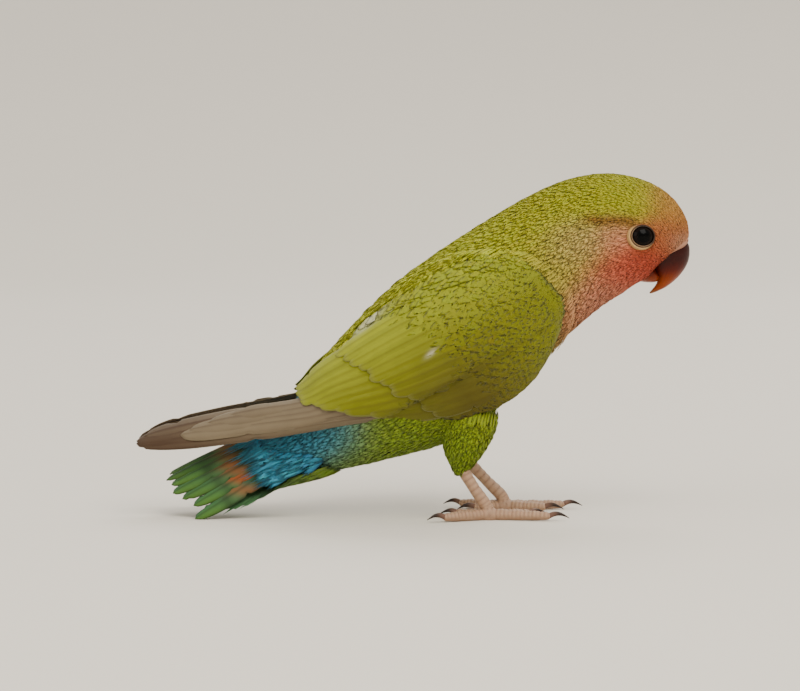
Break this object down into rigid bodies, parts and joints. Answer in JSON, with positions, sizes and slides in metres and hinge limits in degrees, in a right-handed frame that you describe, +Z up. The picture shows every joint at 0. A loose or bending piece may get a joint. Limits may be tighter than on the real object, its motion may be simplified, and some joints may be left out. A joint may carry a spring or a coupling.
{
  "type": "peach-faced lovebird model",
  "caption": "Still, life-size model of a peach-faced lovebird standing with folded wings, leaning forward, its fanned tail laid on the floor.",
  "frame": {"origin": "middle of the model's outline on the floor it stands on", "axes": "+X forward to the bill, +Y to the bird's left, +Z up"},
  "size_m": [0.1382, 0.0498, 0.0856],
  "materials": {
    "body_feathers": "soft, matt yellowish-green feathers",
    "face_feathers": "soft peach and pink feathers under an olive crown",
    "wing_feathers": "smooth olive-green coverts over grey-brown flight feathers",
    "tail_feathers": "sky-blue coverts over blue-green tail feathers with orange-red patches",
    "bill_horn": "smooth horn, red-brown at the base and orange at the tip",
    "eye": "wet, nearly black",
    "leg_skin": "ringed, pinkish-grey skin",
    "claw_horn": "dark, smooth horn"
  },
  "bodies": {
    "root": {"torso": "body_feathers", "neck": "body_feathers", "head": "face_feathers", "bill_upper": "bill_horn", "bill_lower": "bill_horn", "tail": "tail_feathers", "eye_right": "eye", "eye_left": "eye", "wing_right": "wing_feathers", "wing_left": "wing_feathers", "thigh_right": "body_feathers", "thigh_left": "body_feathers", "shank_right": "leg_skin", "shank_left": "leg_skin", "foot_right": "leg_skin", "foot_left": "leg_skin", "claw_right_1": "claw_horn", "claw_right_2": "claw_horn", "claw_right_3": "claw_horn", "claw_right_4": "claw_horn", "claw_left_1": "claw_horn", "claw_left_2": "claw_horn", "claw_left_3": "claw_horn", "claw_left_4": "claw_horn"}
  },
  "joints": []
}
